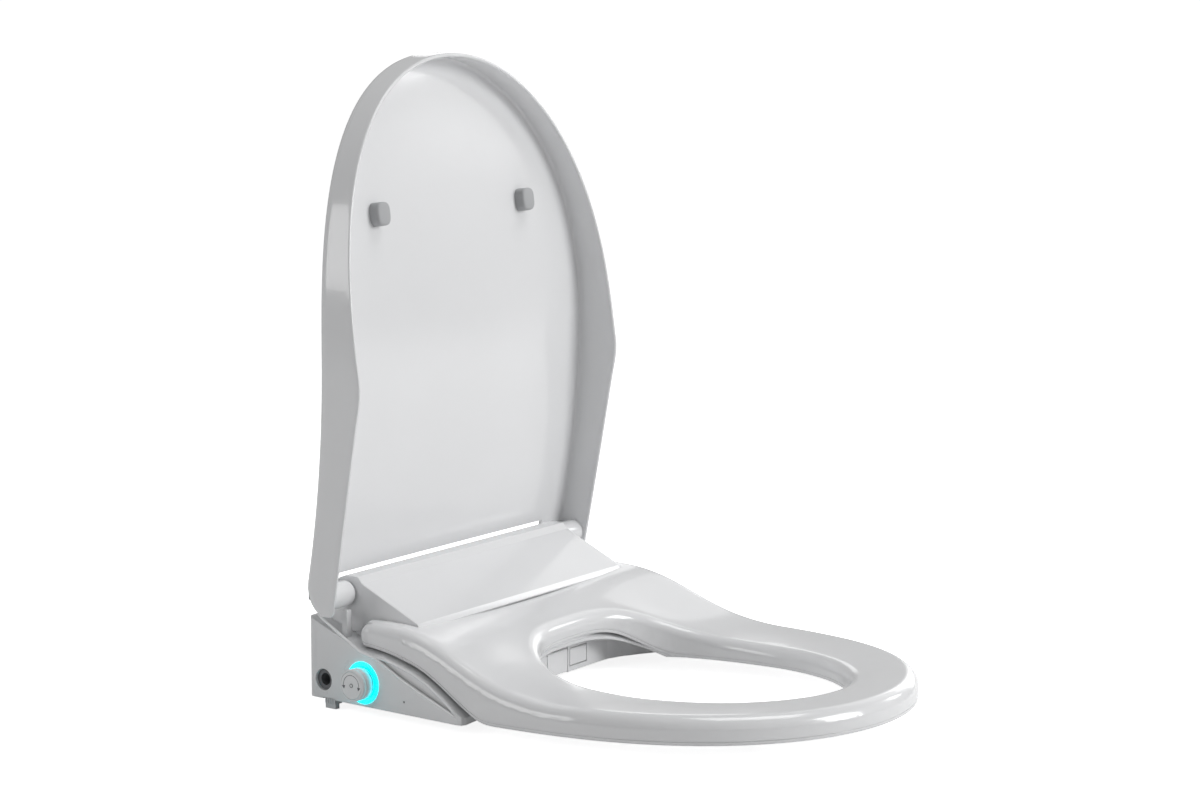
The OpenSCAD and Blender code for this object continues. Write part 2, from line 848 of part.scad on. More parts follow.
// Lid side profile: skirt edge up the front and panel down the back.
lid_band = concat(
    [[8, lid_foot_z - 0.5], [skirt_foot_y, lid_foot_z + 8], [kink_y + 1, kink_z - 8], [kink_y, kink_z],
     [kink_y + 1, kink_z + 8]],
    [for (i = [1 : 12]) let (z = kink_z + 8 + (lid_tip_z - kink_z) * i / 12) [skirt_edge(z), z]],
    [for (i = [20 : -1 : 1]) [lid_inner(lid_rows[i]) + lid_wall, lid_rows[i]]],
    [[lid_inner(lid_foot_z + 8) + lid_wall, lid_foot_z + 6],
     [lid_inner(lid_foot_z) + lid_wall - 8, lid_foot_z - 0.5]]);
lid_cavity = concat(
    [[-60, lid_foot_z - 20], [-60, lid_tip_z + 20]],
    [for (i = [20 : -1 : 0]) [lid_inner(lid_rows[i]), lid_rows[i]]],
    [[lid_inner(lid_foot_z), lid_foot_z - 20]]);

// Lid outline seen from the front, made smaller by t, between two depths.
module lid_plate(t, y0, y1) {
    k = (lid_half - t) / lid_half;
    half = [for (p = lid_half_outline) [p[0] * k, lid_wide_z + (p[1] - lid_wide_z) * (p[1] > lid_wide_z ? k : 1)]];
    half_low = concat([[half[0][0], half[0][1] - (t > 0 ? 20 : 0)]], half);
    translate([0, y1, 0])
        rotate([90, 0, 0])
            linear_extrude(height = y1 - y0)
                polygon(concat(half_low, mirrored(half_low)));
}

barrel_r = 10.5;
module lid_shell() {
    color(white)
        difference() {
            union() {
                difference() {
                    intersection() {
                        lid_plate(0, -80, 80);
                        across(lid_band, -200, 200);
                    }
                    intersection() {
                        lid_plate(lid_wall, -80, 80);
                        across(lid_cavity, -200, 200);
                    }
                }
                rod_both(cover_half + 1, lid_rear_half - 1, lid_axis_y, lid_axis_z, barrel_r);
                // Web between the hinge barrel and the panel
                across_both([[lid_axis_y, 80], [lid_line_y, 80], [lid_line_y, 90], [lid_axis_y, 90]],
                    cover_half + 1, lid_rear_half - 1);
            }
            translate([-lid_notch_half, -100, lid_foot_z - 20])
                cube([2 * lid_notch_half, 200, lid_notch_z - lid_foot_z + 20]);
            rod_both(cover_half - 5, lid_rear_half - 5, lid_axis_y, lid_axis_z, lid_shaft_r);
        }
}

bumper_x = 104;
bumper_z = 385;
// Lozenge shaped pads with round ends on the lid's inner face.
module lid_bumpers() {
    color(rubber)
        for (s = [-1, 1])
            translate([s * bumper_x, lid_inner(bumper_z) - 0.35, bumper_z])
                rotate([90 - 7, 0, 0])
                    hull()
                        for (a = [-1, 1], b = [-1, 1])
                            translate([a * 2, b * 3, 0]) cylinder(h = lid_bumper_h, r = 6, $fn = 32);
}

module lid_dampers() {
    color(dark)
        difference() {
            union() {
                rod_both(96, cover_half - 2.8, lid_axis_y, lid_axis_z, 9);
                for (s = [-1, 1])
                    translate([s * 125 - 15, lid_axis_y - 6, lid_axis_z]) cube([30, 7, cover_top - 2.6 - lid_axis_z]);
            }
            rod_both(104, cover_half + 5, lid_axis_y, lid_axis_z, lid_shaft_r + running_gap);
        }
}

module lid_hinge_shafts() {
    color(steel)
        rod_both(105, lid_rear_half - 5.2, lid_axis_y, lid_axis_z, lid_shaft_r);
}

// ---- Seat ----

seat_wide_y = -172;
// Half width of the seat at depth y
function seat_width(y) =
    y > seat_wide_y
    ? seat_half - 21 * pow((y - seat_wide_y) / (-5 - seat_wide_y), 1.9)
    : seat_half * pow(1 - pow(min(1, (seat_wide_y - y) / (seat_wide_y - seat_tip_y)), 2.36), 1 / 2.03);
seat_depths = concat([for (i = [0 : 7]) -5 + (seat_wide_y + 5) * i / 8],
    [for (i = [0 : steps]) seat_wide_y + (seat_tip_y - seat_wide_y) * (1 - pow(1 - i / steps, 2))]);
seat_half_outline = [for (y = seat_depths) [seat_width(y), y]];

module seat_plan(t, z0, z1) {
    k = (seat_half - t) / seat_half;
    half = [for (p = seat_half_outline) [p[0] * k, p[1] < seat_wide_y ? seat_wide_y + (p[1] - seat_wide_y) * k : p[1]]];
    translate([0, 0, z0])
        linear_extrude(height = z1 - z0)
            polygon(concat(half, mirrored(half)));
}

hole_mid_y = -225;
hole_steps = 16;
function hole_width(y) =
    y > hole_mid_y
    ? pow(1 - pow(min(1, (y - hole_mid_y) / (hole_rear_y - hole_mid_y)), 3), 1 / 3)
    : pow(1 - pow(min(1, (hole_mid_y - y) / (hole_mid_y - hole_front_y)), 2), 1 / 2);
hole_depths = concat(
    [for (i = [0 : hole_steps]) hole_rear_y + (hole_mid_y - hole_rear_y) * pow(i / hole_steps, 2)],
    [for (i = [1 : hole_steps]) hole_mid_y + (hole_front_y - hole_mid_y) * (1 - pow(1 - i / hole_steps, 2))]);

module seat_hole(t, z0, z1) {
    k = (hole_half + t) / hole_half;
    half = [for (y = hole_depths) [hole_half * hole_width(y) * k, hole_mid_y + (y - hole_mid_y) * (1 + t / 122)]];
    translate([0, 0, z0])
        linear_extrude(height = z1 - z0)
            polygon(concat(half, mirrored(half)));
}

seat_top = [[-40, 66.5], [-74, 62], [-90, 57], [-106, 50], [-130, 38.5], [-150, 31], [-167, 27.4],
    [-198, 24.4], [-250, 23.6], [-330, 24], [seat_tip_y - 5, 23]];
seat_under = [[seat_tip_y - 5, 2], [-138, 2], [-131, 5.5], [-119, 12], [-105, 21], [-90, 30],
    [-75, 37], [-57, 41.4], [-38, 45], [-20, 46.6]];
shoulder_r = 11;
// Side profile of the seat with its top lowered by t and its underside raised by u.
function seat_band(t, u) = concat(
    [for (a = [90 : -15 : -60])
        [seat_axis_y + (shoulder_r - t) * cos(a), seat_axis_z - 1.2 + (shoulder_r - t) * sin(a)]],
    [for (i = [len(seat_under) - 1 : -1 : 0]) [seat_under[i][0], seat_under[i][1] + u]],
    [for (i = [len(seat_top) - 1 : -1 : 0]) [seat_top[i][0], seat_top[i][1] - t]]);

bridge_y = cover_lip_y - 2.6;
bridge_under = 42;
module seat_body(t, u) {
    difference() {
        intersection() {
            seat_plan(t, -5, 80);
            across(seat_band(t, u), -200, 200);
        }
        // Room for the cover between the two shoulders
        translate([-cover_half - 0.8 - t, bridge_y - t, -10])
            cube([2 * (cover_half + 0.8 + t), 100, 100]);
        // Room over the deck of the base
        translate([-deck_half - 4, front_wall_y - 4, -10])
            cube([2 * (deck_half + 4), 100, 10 + bridge_under + u]);
    }
}

module seat_shell() {
    color(white)
        difference() {
            union() {
                difference() {
                    intersection() {
                        seat_body(0, 0);
                        union() {
                            seat_plan(4, -5, 80);
                            across(seat_band(2, 0), -200, 200);
                        }
                    }
                    seat_hole(0, -10, 90);
                    difference() {
                        seat_body(3, -12);
                        seat_hole(2.6, -10, 90);
                    }
                }
                rod_both(cover_half + 0.8, 164, seat_axis_y, seat_axis_z, 8);
            }
            rod_both(cover_half - 5, 162, seat_axis_y, seat_axis_z, seat_shaft_r);
        }
}

plate_z = 4.2;
plate_t = 2.4;
riser_y = front_wall_y - 7.5;
// Closing plate of the seat: flat under the ring, rising with the underside at the rear.
module seat_plate() {
    lift = plate_z - seat_under[0][1];
    color(white)
        difference() {
            intersection() {
                seat_plan(3, -5, 80);
                union() {
                    intersection() {
                        across(concat([for (p = seat_under) [p[0], p[1] + lift]],
                            [for (i = [len(seat_under) - 1 : -1 : 0])
                                [seat_under[i][0], seat_under[i][1] + lift + plate_t]]), -200, 200);
                        translate([-200, seat_tip_y - 10, -10])
                            cube([400, riser_y - seat_tip_y + 10, 90]);
                    }
                    translate([-cover_half + 12, riser_y - plate_t, 26]) cube([2 * cover_half - 24, plate_t, 21]);
                    translate([-cover_half + 12, riser_y - plate_t, bridge_under + 2.2])
                        cube([2 * cover_half - 24, bridge_y - 3 - riser_y, plate_t]);
                }
            }
            seat_hole(3, -10, 90);
            for (p = seat_screw_places)
                translate([p[0], p[1], -10]) cylinder(h = 40, r = 1.75);
            for (p = seat_bumper_places)
                translate([p[0], p[1], -10]) cylinder(h = 40, r = 3.05);
        }
}

seat_screw_places = [for (a = [-65 : 26 : 65]) [143 * sin(a), -228 - 142 * cos(a)]];
module seat_plate_screws() {
    color(steel)
        for (p = seat_screw_places)
            translate([p[0], p[1], plate_z - 1.4]) {
                cylinder(h = 1.4, r = 3.2);
                cylinder(h = 9, r = 1.6);
            }
}

seat_bumper_places = [[-146, -190], [146, -190], [-104, -330], [104, -330]];
module seat_bumpers() {
    color(rubber)
        for (p = seat_bumper_places)
            translate([p[0], p[1], 0]) {
                cylinder(h = plate_z, r = 8);
                cylinder(h = plate_z + 2.4, r = 3);
                translate([0, 0, plate_z + 2.4 - eps]) cylinder(h = 1.5, r = 4);
            }
}

// Heating foil under the top skin of the flat part of the ring.
module seat_heater() {
    color([0.85, 0.6, 0.3])
        difference() {
            intersection() {
                seat_plan(12, 18.4, 18.9);
                translate([-200, seat_tip_y - 10, 0]) cube([400, -210 - seat_tip_y + 10, 60]);
            }
            seat_hole(12, -10, 90);
        }
}

module seat_sensor() {
    color(green)
        for (s = [-1, 1])
            translate([s * 142 - 9, -256, 16.6]) cube([18, 50, 1.2]);
}

// ---- Hinges of the seat ----

module seat_dampers() {
    color(dark)
        difference() {
            union() {
                rod_both(104, cover_half - 2.8, seat_axis_y, seat_axis_z, 8.5);
                // Feet on the ledges of the base
                for (s = [-1, 1])
                    translate([s * 143.8 - 4, seat_axis_y - 5, cover_floor]) cube([8, 10, seat_axis_z - cover_floor]);
            }
            rod_both(110, cover_half + 5, seat_axis_y, seat_axis_z, seat_shaft_r + running_gap);
        }
}

module seat_hinge_shafts() {
    color(steel)
        rod_both(111, 161.8, seat_axis_y, seat_axis_z, seat_shaft_r);
}

base_shell();
base_pan();
top_cover();
mounting_plate();
release_button();
base_feet();
cover_screws();
pan_screws();
water_inlet();
inlet_filter();
inlet_seal();
inlet_valve();
water_hoses();
heater_tank();
control_board();
power_supply();
cord_gland();
nozzle_cradle();
nozzle_sleeve();
nozzle_tube();
nozzle_tip();
nozzle_motor();
nozzle_pinion();
nozzle_gate();
gate_pin();
dryer_door();
dryer_door_pin();
dryer_duct();
fan_housing();
fan_rotor();
fan_motor();
knob_grip();
knob_cap();
knob_stem();
knob_bush();
encoder();
light_ring();
light_board();
indicator_lens();
lid_dampers();
lid_hinge_shafts();
lid_shell();
lid_bumpers();
seat_dampers();
seat_hinge_shafts();
seat_shell();
seat_plate();
seat_plate_screws();
seat_bumpers();
seat_heater();
seat_sensor();
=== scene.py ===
"""Looks of the electric bidet seat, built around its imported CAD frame.

Shapes are given in millimetres in the CAD's frame: x across the seat, y to the back, z up.
The camera, the lights, the bump heights and the edge radii are in metres.
"""

import math

import bmesh
import bpy
import numpy as np
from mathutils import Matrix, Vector


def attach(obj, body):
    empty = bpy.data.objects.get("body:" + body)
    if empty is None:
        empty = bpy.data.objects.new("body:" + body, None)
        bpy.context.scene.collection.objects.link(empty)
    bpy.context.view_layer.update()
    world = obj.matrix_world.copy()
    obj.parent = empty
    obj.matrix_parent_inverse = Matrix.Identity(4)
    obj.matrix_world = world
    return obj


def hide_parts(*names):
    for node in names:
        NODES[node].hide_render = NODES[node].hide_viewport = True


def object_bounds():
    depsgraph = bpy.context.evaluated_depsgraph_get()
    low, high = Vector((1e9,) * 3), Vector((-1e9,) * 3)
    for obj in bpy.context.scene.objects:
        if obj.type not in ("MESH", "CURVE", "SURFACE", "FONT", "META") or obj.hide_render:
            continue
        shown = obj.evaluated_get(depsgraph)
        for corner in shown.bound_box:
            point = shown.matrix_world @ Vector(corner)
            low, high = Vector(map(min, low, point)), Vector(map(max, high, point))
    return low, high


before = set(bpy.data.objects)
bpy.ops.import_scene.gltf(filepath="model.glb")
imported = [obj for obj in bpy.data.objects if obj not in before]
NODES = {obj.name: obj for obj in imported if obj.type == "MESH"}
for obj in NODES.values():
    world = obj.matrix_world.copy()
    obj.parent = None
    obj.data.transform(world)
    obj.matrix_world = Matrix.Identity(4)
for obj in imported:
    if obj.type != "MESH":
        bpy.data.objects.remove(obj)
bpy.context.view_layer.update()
MM = 0.001


# ---- Camera, light and floor ----


def make_camera():
    """The photo's view: from the knob's side, a little above the seat."""
    data = bpy.data.cameras.new("camera")
    data.lens = 92.25
    data.sensor_width = 36.0
    data.shift_y = 0.0132
    data.clip_start, data.clip_end = 0.1, 50
    cam = bpy.data.objects.new("camera", data)
    bpy.context.scene.collection.objects.link(cam)
    target = Vector((0.077, -0.0818, 0.208))
    azimuth, elevation, distance = math.radians(-57.55), math.radians(7.94), 2.591
    level = math.cos(elevation)
    back = Vector((math.sin(azimuth) * level, -math.cos(azimuth) * level, math.sin(elevation)))
    cam.location = target + back * distance
    cam.rotation_mode = "QUATERNION"
    cam.rotation_quaternion = (-back).to_track_quat("-Z", "Y")
    bpy.context.scene.camera = cam


# Name, place, aim, width, height and power in watts of each softbox
LIGHTS = (
    ("key_front", (0.9, -2.6, 1.2), (0, -0.1, 0.2), 1.2, 1.2, 39),
    ("top", (0.5, -0.6, 2.4), (0, -0.15, 0.1), 1.2, 1.2, 17.5),
    ("back_left", (-2.2, 1.3, 1.2), (0, 0, 0.2), 1.2, 1.2, 15),
    # Mirrored by the cover's front lip
    ("lip_strip", (2.0, -0.97, 0.9), (0, -0.1, 0.08), 0.45, 0.45, 2.4),
    # Mirrored by the scoop of the seat, beside its opening
    ("scoop", (2.0, 1.2, 0.92), (0, -0.1, 0.05), 0.62, 0.55, 1.1),
    # A wide box with a brighter core, mirrored by the top of the seat and the end of the cover
    ("side_right", (2.37, 0.03, 1.0), (0, -0.2, 0.05), 1.25, 1.9, 4.2),
    ("side_right_core", (2.33, 0.03, 0.6), (0, -0.2, 0.05), 0.85, 1.0, 3.2),
)
# Half the floor's width, and the gap between it and the lowest foot
FLOOR_HALF, FLOOR_GAP = 14.0, 0.0005


def make_light(name, place, aim, width, height, power):
    """A softbox that faces the point it is aimed at."""
    data = bpy.data.lights.new(name, "AREA")
    data.shape = "RECTANGLE"
    data.size, data.size_y = width, height
    data.energy = power
    light = bpy.data.objects.new(name, data)
    bpy.context.scene.collection.objects.link(light)
    light.location = place
    light.rotation_mode = "QUATERNION"
    light.rotation_quaternion = (Vector(aim) - Vector(place)).to_track_quat("-Z", "Y")


def seen_level(nt, soft, gloss, seen):
    """Strength for soft light, for reflections and for what is seen directly."""
    path = nt.nodes.new("ShaderNodeLightPath")
    last = None
    for level, ray in ((gloss - soft, "Is Glossy Ray"), (seen - soft, "Is Camera Ray")):
        add = nt.nodes.new("ShaderNodeMath")
        add.operation = "MULTIPLY_ADD"
        nt.links.new(path.outputs[ray], add.inputs[0])
        add.inputs[1].default_value = level
        add.inputs[2].default_value = soft
        if last:
            nt.links.new(last, add.inputs[2])
        last = add.outputs[0]
    return last


def make_studio():
    """A white world, the softboxes and the floor."""
    scene = bpy.context.scene
    scene.view_settings.view_transform = "Standard"
    world = bpy.data.worlds.new("studio")
    scene.world = world
    world.use_nodes = True
    nt = world.node_tree
    sky = nt.nodes["Background"]
    sky.inputs["Color"].default_value = (1.0, 1.0, 1.0, 1)
    nt.links.new(seen_level(nt, soft=0.2, gloss=0.4, seen=1.05), sky.inputs["Strength"])
    for light in LIGHTS:
        make_light(*light)
    make_floor()


def make_floor():
    """White paper that glows to the camera, which leaves only soft contact shadows on it."""
    mesh = bpy.data.meshes.new("floor")
    s, z = FLOOR_HALF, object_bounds()[0].z - FLOOR_GAP
    mesh.from_pydata([(-s, -s, z), (s, -s, z), (s, s, z), (-s, s, z)], [], [(0, 1, 2, 3)])
    floor = bpy.data.objects.new("floor", mesh)
    bpy.context.scene.collection.objects.link(floor)
    paper = bpy.data.materials.new("floor_paper")
    paper.use_nodes = True
    nt = paper.node_tree
    shader = nt.nodes["Principled BSDF"]
    shader.inputs["Base Color"].default_value = (0.8, 0.8, 0.8, 1)
    shader.inputs["Roughness"].default_value = 0.9
    shader.inputs["Specular IOR Level"].default_value = 0.05
    shader.inputs["Emission Color"].default_value = (1, 1, 1, 1)
    glow = seen_level(nt, soft=0.0, gloss=0.25, seen=0.86)
    nt.links.new(glow, shader.inputs["Emission Strength"])
    mesh.materials.append(paper)


# ---- Materials ----


def add_noise(nt, coord, scale, detail):
    """Noise over the piece's own coordinates, with so many waves in a metre."""
    node = nt.nodes.new("ShaderNodeTexNoise")
    node.inputs["Scale"].default_value = scale
    node.inputs["Detail"].default_value = detail
    nt.links.new(coord.outputs["Object"], node.inputs["Vector"])
    return node.outputs["Fac"]


def add_bump(nt, height, distance):
    """Relief of a height in metres."""
    node = nt.nodes.new("ShaderNodeBump")
    node.inputs["Strength"].default_value = 1.0
    node.inputs["Distance"].default_value = distance
    nt.links.new(height, node.inputs["Height"])
    return node


# Waves in a metre and detail of the noise in colour, in gloss and in the surface's flow
TONE_NOISE, GLOSS_NOISE, FLOW_NOISE = (9.0, 3.0), (55.0, 4.0), (14.0, 1.0)
GRAIN_DETAIL = 2.0
FLOW_HEIGHT = 0.00006
COAT_ROUGH = 0.04


def moulded(name, colour, rough, coat=0.0, grain=0.00002, grain_scale=900.0, edge=0.0,
            metallic=0.0, spec=0.5, transmission=0.0):
    """Moulded plastic or metal: slow colour and gloss drift, faint flow waves and fine grain.

    grain is the grain's height, and edge the radius that sharp CAD edges are softened to.
    """
    m = bpy.data.materials.new(name)
    m.use_nodes = True
    nt = m.node_tree
    link = nt.links.new
    shader = nt.nodes["Principled BSDF"]
    shader.inputs["Metallic"].default_value = metallic
    shader.inputs["Specular IOR Level"].default_value = spec
    shader.inputs["Coat Weight"].default_value = coat
    shader.inputs["Coat Roughness"].default_value = COAT_ROUGH
    shader.inputs["Transmission Weight"].default_value = transmission
    coord = nt.nodes.new("ShaderNodeTexCoord")

    tone = nt.nodes.new("ShaderNodeMix")
    tone.data_type = "RGBA"
    tone.inputs["A"].default_value = (*[c * 0.975 for c in colour], 1)
    tone.inputs["B"].default_value = (*[min(1.0, c * 1.02) for c in colour], 1)
    link(add_noise(nt, coord, *TONE_NOISE), tone.inputs["Factor"])
    link(tone.outputs["Result"], shader.inputs["Base Color"])

    span = nt.nodes.new("ShaderNodeMapRange")
    span.inputs["From Min"].default_value = 0.25
    span.inputs["From Max"].default_value = 0.75
    span.inputs["To Min"].default_value = rough * 0.85
    span.inputs["To Max"].default_value = rough * 1.2
    link(add_noise(nt, coord, *GLOSS_NOISE), span.inputs["Value"])
    link(span.outputs["Result"], shader.inputs["Roughness"])

    waves = add_bump(nt, add_noise(nt, coord, *FLOW_NOISE), FLOW_HEIGHT)
    fine = add_bump(nt, add_noise(nt, coord, grain_scale, GRAIN_DETAIL), grain)
    link(waves.outputs["Normal"], fine.inputs["Normal"])
    if edge > 0:
        soft = nt.nodes.new("ShaderNodeBevel")
        soft.samples = 4
        soft.inputs["Radius"].default_value = edge
        link(soft.outputs["Normal"], waves.inputs["Normal"])
    link(fine.outputs["Normal"], shader.inputs["Normal"])
    return m


def glowing(name, colour, strength):
    """A lit plastic."""
    m = moulded(name, colour, 0.25, coat=0.3)
    shader = m.node_tree.nodes["Principled BSDF"]
    shader.inputs["Emission Color"].default_value = (*colour, 1)
    shader.inputs["Emission Strength"].default_value = strength
    return m


WHITE = (0.80, 0.805, 0.815)
MATERIALS = {}


def make_materials():
    MATERIALS.update(
        gloss=moulded("white_gloss_plastic", WHITE, 0.16, coat=0.4),
        gloss_edge=moulded("white_gloss_edge", WHITE, 0.22, coat=0.3, edge=0.0008),
        satin=moulded("white_satin_plastic", WHITE, 0.34, coat=0.1, grain=0.00004),
        cheek=moulded("white_cheek_plastic", (0.77, 0.775, 0.785), 0.3, coat=0.15, edge=0.001),
        grey=moulded("grey_plastic", (0.42, 0.43, 0.45), 0.45, grain=0.00006, edge=0.0004),
        pale=moulded("pale_plastic", (0.66, 0.665, 0.68), 0.4, grain=0.00005, edge=0.0004),
        dark=moulded("dark_plastic", (0.035, 0.037, 0.042), 0.42, grain=0.00008, edge=0.0004),
        slate=moulded("slate_plastic", (0.14, 0.145, 0.155), 0.4, grain=0.00006, edge=0.0003),
        pad=moulded("pad_rubber", (0.42, 0.425, 0.435), 0.55, grain=0.0001, grain_scale=1500,
                    spec=0.3),
        seal=moulded("seal_rubber", (0.02, 0.02, 0.02), 0.6, spec=0.3),
        steel=moulded("brushed_steel", (0.6, 0.6, 0.61), 0.28, metallic=1.0, grain=0.00003,
                      edge=0.0002),
        brass=moulded("brass_gear", (0.78, 0.58, 0.27), 0.3, metallic=1.0, edge=0.0001),
        board=moulded("circuit_board", (0.02, 0.14, 0.07), 0.4, coat=0.4),
        foil=moulded("heater_foil", (0.7, 0.36, 0.1), 0.35, metallic=0.3),
        hose=moulded("silicone_hose", (0.78, 0.8, 0.82), 0.3, transmission=0.3),
        cyan=glowing("cyan_light", (0.0, 0.85, 0.95), 2.6),
        mark=moulded("knob_mark", (0.13, 0.135, 0.145), 0.4),
    )


# CAD nodes that stay as they are, by material
NODE_MATERIALS = {
    "gloss_edge": ["nozzle_tube", "nozzle_gate", "dryer_door", "seat_plate"],
    "cheek": ["base_shell"],
    "grey": ["base_pan", "mounting_plate", "inlet_valve", "nozzle_cradle", "nozzle_sleeve",
             "dryer_duct", "knob_bush", "fan_rotor", "power_supply"],
    "pale": ["release_button", "heater_tank"],
    "dark": ["cord_gland", "encoder", "lid_dampers", "seat_dampers", "fan_housing", "nozzle_motor"],
    "slate": ["water_inlet"],
    "pad": ["base_feet", "seat_bumpers"],
    "seal": ["inlet_seal"],
    "steel": ["cover_screws", "pan_screws", "seat_plate_screws", "gate_pin", "dryer_door_pin",
              "lid_hinge_shafts", "seat_hinge_shafts", "knob_stem", "nozzle_tip", "inlet_filter",
              "fan_motor"],
    "brass": ["nozzle_pinion"],
    "board": ["control_board", "light_board", "seat_sensor"],
    "foil": ["seat_heater"],
    "hose": ["water_hoses"],
    "mark": ["indicator_lens"],
}
# Edges of those nodes that turn by more than this many degrees stay sharp
CAD_SHARP = 32


def dress_cad_nodes():
    for key, names in NODE_MATERIALS.items():
        for name in names:
            mesh = NODES[name].data
            mesh.materials.clear()
            mesh.materials.append(MATERIALS[key])
            mesh.set_sharp_from_angle(angle=math.radians(CAD_SHARP))


# ---- Mesh helpers ----

# Points of one piece closer than this, in metres, become one
WELD = 0.00002
# Powers of the flattened ellipses of the lid and the seat: their sides, and the tip of each
SIDE_POWER, LID_TIP_POWER, SEAT_TIP_POWER = 2.03, 2.48, 2.36
# Sign of x and name of each side; the knob is on the left
BOTH_SIDES = ((-1, "left"), (1, "right"))


class Shape:
    """Points and faces gathered from several grids and caps, welded into one mesh."""

    def __init__(self):
        self.points, self.faces = [], []

    def grid(self, g, close_cols=False):
        """Quads between rows of points; close_cols joins each row's end to its start."""
        g = np.asarray(g, float)
        rows, cols = g.shape[:2]
        start = len(self.points)
        self.points += [tuple(p) for p in g.reshape(-1, 3)]
        for i in range(rows - 1):
            for j in range(cols if close_cols else cols - 1):
                a, b = start + i * cols + j, start + i * cols + (j + 1) % cols
                self.faces.append((a, b, b + cols, a + cols))

    def fan(self, loop):
        """One face across a closed loop of points."""
        start = len(self.points)
        self.points += [tuple(p) for p in loop]
        self.faces.append(tuple(range(start, start + len(loop))))

    def build(self, name, body, material, replaces=(), sharp=38.0):
        """A smooth shaded piece that rides on a body and stands for the replaced CAD nodes."""
        mesh = bpy.data.meshes.new(name)
        mesh.from_pydata([tuple(float(c) * MM for c in p) for p in self.points], [], self.faces)
        bm = bmesh.new()
        bm.from_mesh(mesh)
        bmesh.ops.remove_doubles(bm, verts=bm.verts, dist=WELD)
        bmesh.ops.dissolve_degenerate(bm, edges=bm.edges, dist=WELD)
        bmesh.ops.recalc_face_normals(bm, faces=bm.faces)
        bm.to_mesh(mesh)
        bm.free()
        mesh.polygons.foreach_set("use_smooth", [True] * len(mesh.polygons))
        mesh.set_sharp_from_angle(angle=math.radians(sharp))
        mesh.materials.append(MATERIALS[material])
        piece = bpy.data.objects.new(name, mesh)
        bpy.context.scene.collection.objects.link(piece)
        if replaces:
            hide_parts(*replaces)
        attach(piece, body)


def rounded(points, radii, steps):
    """A closed 2-D polygon with its corners replaced by arcs."""
    pts = [np.array(p, float) for p in points]
    out = []
    for i, (p, r) in enumerate(zip(pts, radii)):
        if r <= 0:
            out.append(p)
            continue
        a, b = pts[i - 1] - p, pts[(i + 1) % len(pts)] - p
        la, lb = np.linalg.norm(a), np.linalg.norm(b)
        a, b = a / la, b / lb
        half = math.acos(max(-1.0, min(1.0, float(a @ b)))) / 2
        cut = min(r / math.tan(half), 0.48 * la, 0.48 * lb)
        r = cut * math.tan(half)
        centre = p + (a + b) / np.linalg.norm(a + b) * (r / math.sin(half))
        s, e = p + a * cut - centre, p + b * cut - centre
        t0, t1 = math.atan2(s[1], s[0]), math.atan2(e[1], e[0])
        turn = (t1 - t0 + math.pi) % (2 * math.pi) - math.pi
        t = t0 + turn * np.arange(steps + 1) / steps
        out += list(centre + r * np.column_stack((np.cos(t), np.sin(t))))
    return np.array(out)


def arc(centre, radius, start, end, steps):
    """Points of an arc, angles in degrees."""
    t = np.radians(np.linspace(start, end, steps + 1))
    return np.column_stack((centre[0] + radius * np.cos(t), centre[1] + radius * np.sin(t)))


def quarter(half, rise, side_power, tip_power, count):
    """Quarter of a flattened ellipse, from its widest line to its tip: across, along."""
    t = np.linspace(0, math.pi / 2, count)
    across = half * np.maximum(np.cos(t), 0) ** (2 / side_power)
    return np.column_stack((across, rise * np.sin(t) ** (2 / tip_power)))


def edge_drop(distance, radius):
    """Fall of a quarter round below its top, at a distance in from the edge."""
    inside = np.minimum(distance, radius)
    return radius - np.sqrt(np.maximum(radius ** 2 - (radius - inside) ** 2, 0))


def smooth(t):
    """Rise from 0 to 1 that starts and ends level."""
    t = np.clip(t, 0.0, 1.0)
    return t * t * (3 - 2 * t)


def lathe(profile, place, axis, turns=64):
    """Rings of (radius, height) points turned round an axis through place."""
    axis = Vector(axis).normalized()
    side = axis.orthogonal().normalized()
    up = axis.cross(side)
    rings = []
    for r, h in profile:
        ring = []
        for k in range(turns):
            a = 2 * math.pi * k / turns
            ring.append(tuple(Vector(place) + axis * h + (side * math.cos(a) + up * math.sin(a)) * r))
        rings.append(ring)
    return np.array(rings)


def inward(path, goal):
    """Unit normals of a 2-D path, on the side of the goal points."""
    t = np.gradient(path, axis=0)
    t /= np.maximum(np.linalg.norm(t, axis=1)[:, None], 1e-9)
    n = np.column_stack((t[:, 1], -t[:, 0]))
    return np.where(np.sum(n * (goal - path), axis=1)[:, None] < 0, -n, n)


# ---- Lid ----

# Seen from the front: the widest line and the half widths there and at the base
LID_WIDE_Z, LID_HALF, LID_BASE_HALF = 266.0, 188.8, 185.6
LID_FOOT_Z, LID_LEDGE_Z, LID_BASE_Z, LID_TIP_Z = 70.5, 82.0, 88.0, 512.0
LID_WALL = 3.0
LID_AXIS = (14.0, 84.5)
# Below this height the back of the lid curls forward to a rounded heel
HEEL_Z = 94.0
# The notch over the cover, and the column of the panel's grid at its corner
NOTCH_X, NOTCH_Z, NOTCH_COL = 151.9, 97.6, 20
PANEL_COLS = 25
# The panel's inner face: depth at the base, tilt and hollow
PANEL_Y, PANEL_TILT, PANEL_HOLLOW = 29, 0.026, 25.6
# Depth and height of the skirt's front edge: its lower end, and the elbow where it turns
SKIRT_LOW_Y, SKIRT_LOW_Z = 3, 69
ELBOW_Y, ELBOW_Z = -29, 251
# The lid's foot rounds off to the front below this height
TOE_Z = 74.5


def lid_inner(z):
    """Depth of the panel's inner face: upright, a little tilted and hollow to the front."""
    rise = z - LID_BASE_Z
    t = rise / (LID_TIP_Z - LID_BASE_Z)
    return PANEL_Y + rise * PANEL_TILT - PANEL_HOLLOW * 4 * t * (1 - t)


